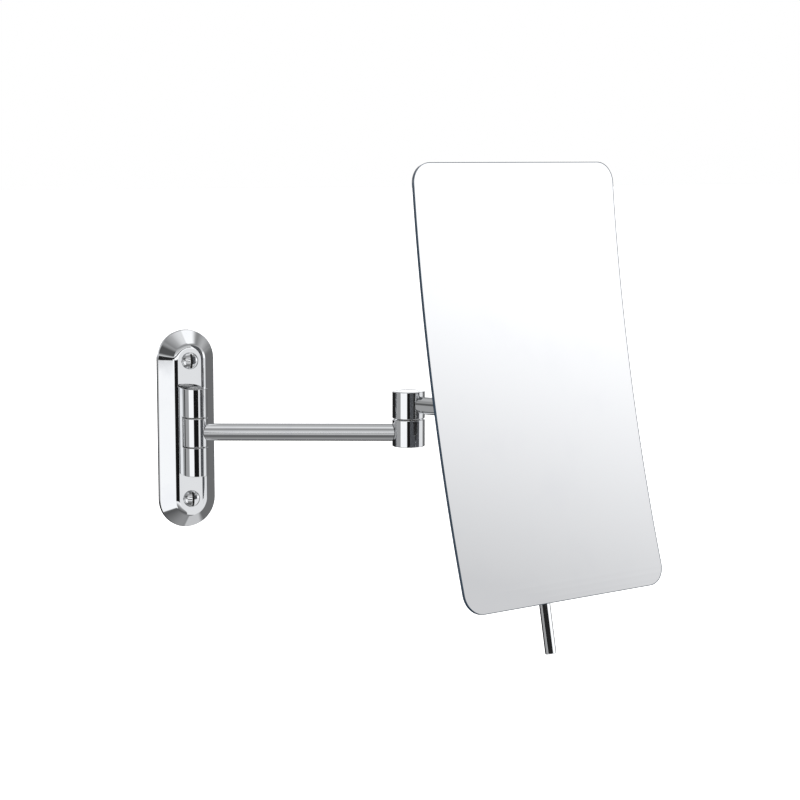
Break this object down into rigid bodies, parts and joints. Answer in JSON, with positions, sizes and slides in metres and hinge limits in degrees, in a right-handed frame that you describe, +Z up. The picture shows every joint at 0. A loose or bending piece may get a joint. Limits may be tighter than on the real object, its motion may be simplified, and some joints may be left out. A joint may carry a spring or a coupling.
{
  "type": "wall-mounted extendable shaving mirror",
  "caption": "Wall-mounted shaving mirror: frameless bent glass with a handle rod, on a folding two-part tube arm that swings, swivels and tilts.",
  "frame": {"origin": "middle of the wall plate's back, on the wall face", "axes": "+Z up, +Y into the wall, -Y into the room, +X to the right as the user faces the wall"},
  "size_m": [0.2333, 0.2278, 0.2646],
  "materials": {
    "polished_chrome": "mirror-bright chrome plate",
    "plated_steel": "plain zinc-plated steel",
    "nylon": "natural nylon",
    "silvered_glass": "silvered float glass with ground edges",
    "back_paint": "protective paint on the silvering",
    "adhesive_foam": "double-sided foam pad"
  },
  "bodies": {
    "wall_mount": {"wall_plate": "polished_chrome", "backing_plate": "plated_steel", "upper_wall_screw": "polished_chrome", "lower_wall_screw": "polished_chrome", "hinge_bracket": "polished_chrome", "hinge_pin": "plated_steel", "hinge_nut": "plated_steel", "upper_hinge_washer": "nylon", "lower_hinge_washer": "nylon", "upper_bracket_screw": "plated_steel", "lower_bracket_screw": "plated_steel"},
    "inner_arm": {"inner_arm_knuckle": "polished_chrome", "hinge_bush": "nylon", "inner_arm_tube": "polished_chrome", "elbow_lower_barrel": "polished_chrome", "elbow_bottom_cap": "polished_chrome", "elbow_bolt": "plated_steel", "elbow_friction_washer": "nylon", "elbow_spring_washer": "plated_steel", "elbow_nut": "plated_steel"},
    "outer_arm": {"elbow_upper_barrel": "polished_chrome", "elbow_top_cap": "polished_chrome", "outer_arm_tube": "polished_chrome", "swivel_lower_barrel": "polished_chrome", "swivel_bottom_cap": "polished_chrome", "swivel_bolt": "plated_steel", "swivel_friction_washer": "nylon", "swivel_spring_washer": "plated_steel", "swivel_nut": "plated_steel"},
    "swivel_head": {"swivel_upper_barrel": "polished_chrome", "swivel_top_cap": "polished_chrome"},
    "mirror": {"mirror_glass": "silvered_glass", "mirror_backing": "back_paint", "adhesive_pad": "adhesive_foam", "holder_plate": "plated_steel", "tilt_yoke": "polished_chrome", "yoke_screw_upper": "plated_steel", "yoke_screw_lower": "plated_steel", "boss_screw": "plated_steel", "rod_boss": "polished_chrome", "handle_rod": "polished_chrome", "handle_grub_screw": "plated_steel", "tilt_washer_left": "nylon", "tilt_washer_right": "nylon", "tilt_spring_washer": "plated_steel", "tilt_pin": "polished_chrome"},
    "friction_knob": {"tilt_knob": "polished_chrome"}
  },
  "joints": [
    {"name": "arm_swing", "type": "hinge", "parent": "wall_mount", "child": "inner_arm", "pos_m": [0, -0.0173, 0], "axis": [0, 0, -1], "range_deg": [-9, 134]},
    {"name": "elbow_swing", "type": "hinge", "parent": "inner_arm", "child": "outer_arm", "pos_m": [0.10868, -0.07196, 0.00805], "axis": [0, 0, 1], "range_deg": [-90, 170]},
    {"name": "mirror_swivel", "type": "hinge", "parent": "outer_arm", "child": "swivel_head", "pos_m": [0.13637, -0.1211, 0.02415], "axis": [0, 0, -1], "range_deg": [-109, 71]},
    {"name": "mirror_tilt", "type": "hinge", "parent": "swivel_head", "child": "mirror", "pos_m": [0.1393, -0.13683, 0.0322], "axis": [0.9831, 0.1831, 0], "range_deg": [-28, 42]},
    {"name": "knob_turn", "type": "hinge", "parent": "mirror", "child": "friction_knob", "pos_m": [0.15434, -0.13402, 0.0322], "axis": [0.9831, 0.1831, 0], "range_deg": [-60, 60]}
  ]
}
